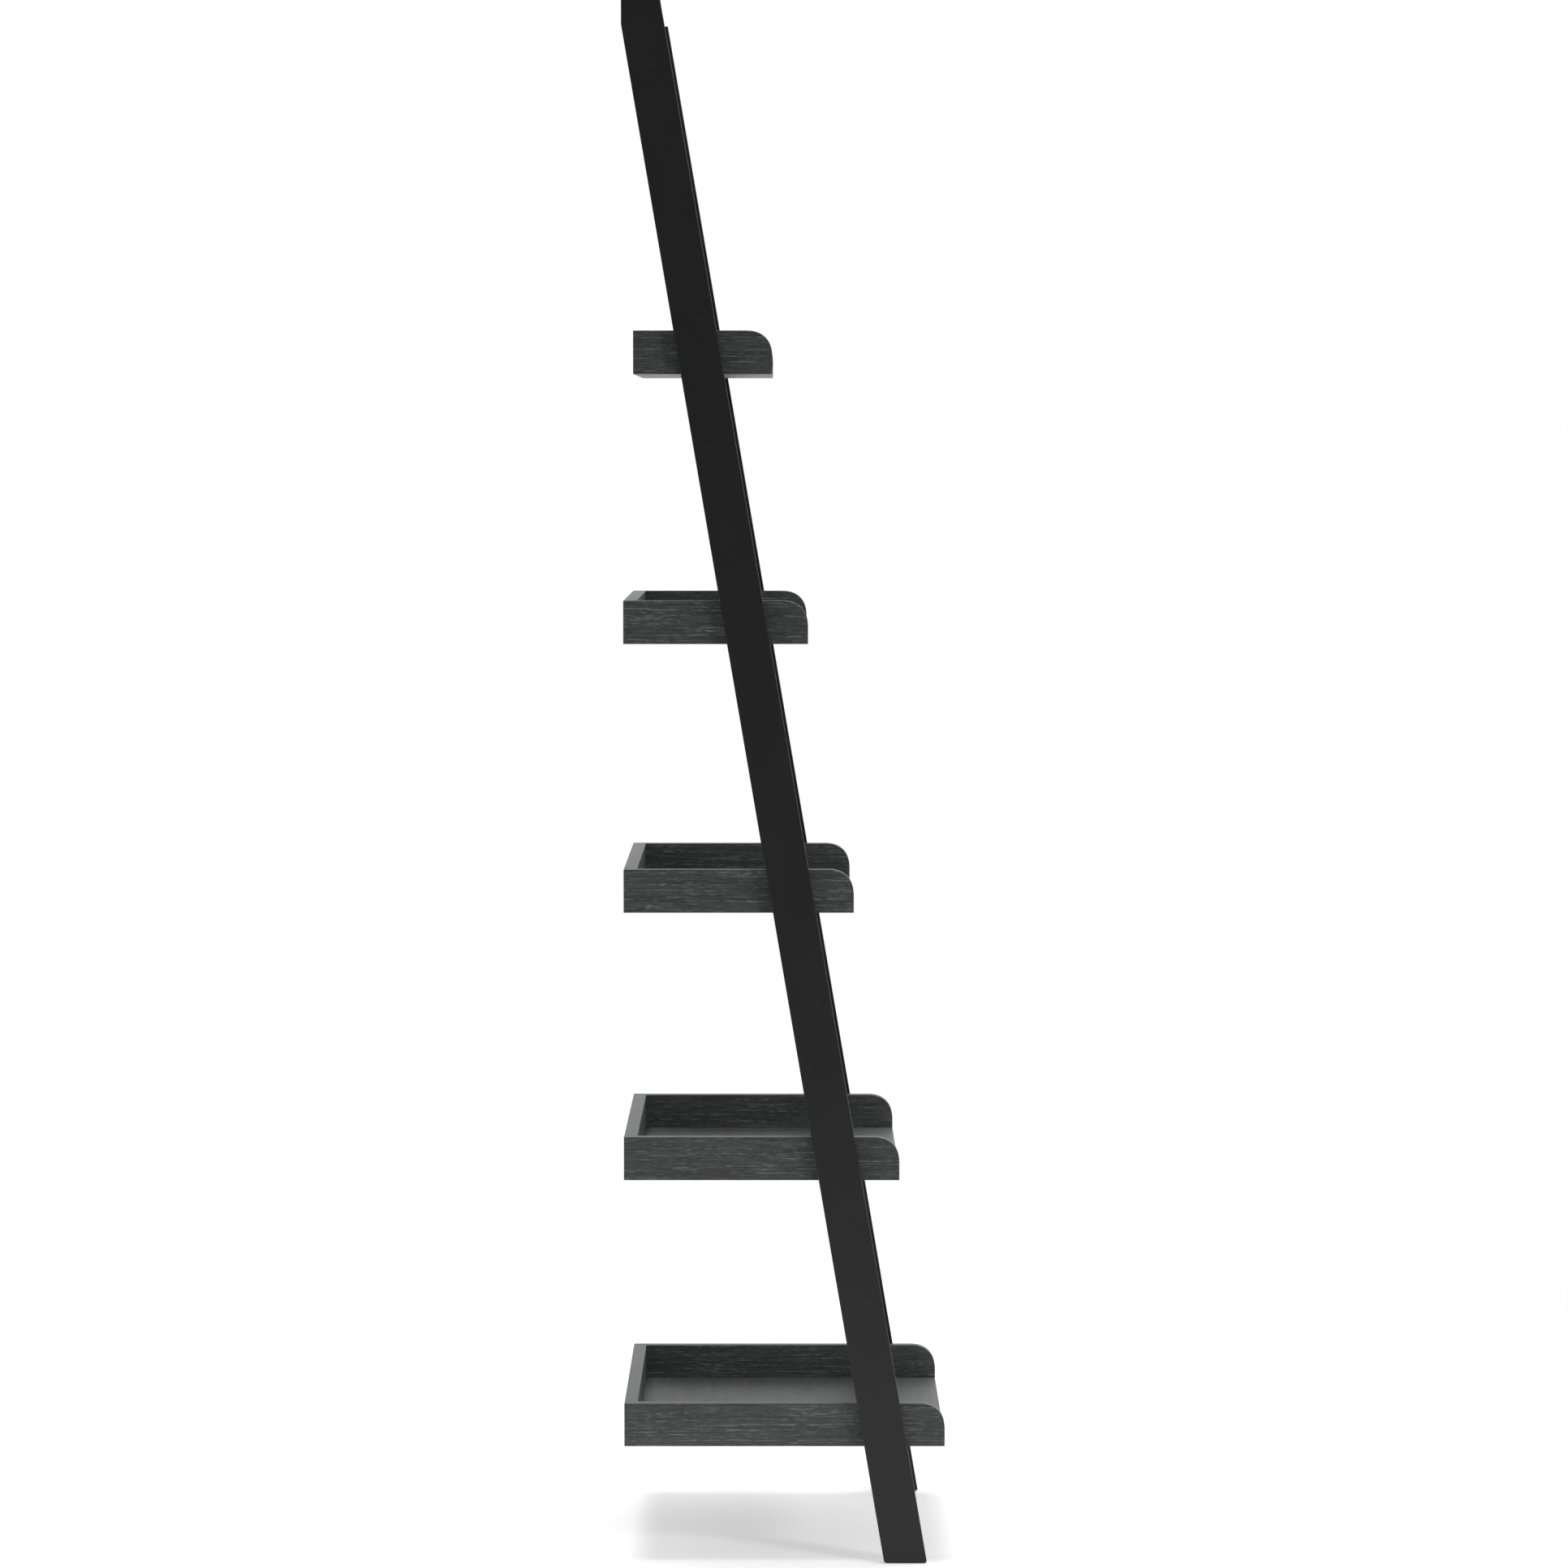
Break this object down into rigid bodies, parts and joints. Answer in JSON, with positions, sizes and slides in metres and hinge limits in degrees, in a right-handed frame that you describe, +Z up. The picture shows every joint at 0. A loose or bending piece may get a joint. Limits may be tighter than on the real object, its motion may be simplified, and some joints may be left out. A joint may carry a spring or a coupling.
{
  "type": "ladder shelf",
  "caption": "Leaning ladder shelf: sloping black side rails stand on the floor, lean on a wall and carry open-fronted charcoal wood trays that get deeper towards the bottom.",
  "frame": {"origin": "on the floor, halfway across the width and halfway between the wall and the front of the deepest tray", "axes": "+Z up; +Y towards the wall that the shelf leans on, so the open fronts of the trays face -Y; +X to the right as seen from the front"},
  "size_m": [0.622, 0.458, 2.216],
  "materials": {
    "rail_wood": "satin black paint over wood, fine grain just showing",
    "tray_wood": "charcoal stained open-grain veneer, low sheen",
    "dowel_wood": "bare beech",
    "bolt_metal": "black oxide steel",
    "insert_metal": "plain turned",
    "bracket_metal": "black powder coat",
    "screw_metal": "black zinc",
    "foot_pad": "matte, fine texture"
  },
  "bodies": {
    "root": {"left_rail": "rail_wood", "left_rail_inserts": "insert_metal", "left_foot_pad": "foot_pad", "left_wall_bracket": "bracket_metal", "right_rail": "rail_wood", "right_rail_inserts": "insert_metal", "right_foot_pad": "foot_pad", "right_wall_bracket": "bracket_metal", "bracket_screws": "screw_metal", "tray_1_left_side": "tray_wood", "tray_1_right_side": "tray_wood", "tray_1_floor": "tray_wood", "tray_1_back": "tray_wood", "tray_1_dowels": "dowel_wood", "tray_1_bolts": "bolt_metal", "tray_2_left_side": "tray_wood", "tray_2_right_side": "tray_wood", "tray_2_floor": "tray_wood", "tray_2_back": "tray_wood", "tray_2_dowels": "dowel_wood", "tray_2_bolts": "bolt_metal", "tray_3_left_side": "tray_wood", "tray_3_right_side": "tray_wood", "tray_3_floor": "tray_wood", "tray_3_back": "tray_wood", "tray_3_dowels": "dowel_wood", "tray_3_bolts": "bolt_metal", "tray_4_left_side": "tray_wood", "tray_4_right_side": "tray_wood", "tray_4_floor": "tray_wood", "tray_4_back": "tray_wood", "tray_4_dowels": "dowel_wood", "tray_4_bolts": "bolt_metal", "tray_5_left_side": "tray_wood", "tray_5_right_side": "tray_wood", "tray_5_floor": "tray_wood", "tray_5_back": "tray_wood", "tray_5_dowels": "dowel_wood", "tray_5_bolts": "bolt_metal"}
  },
  "joints": []
}
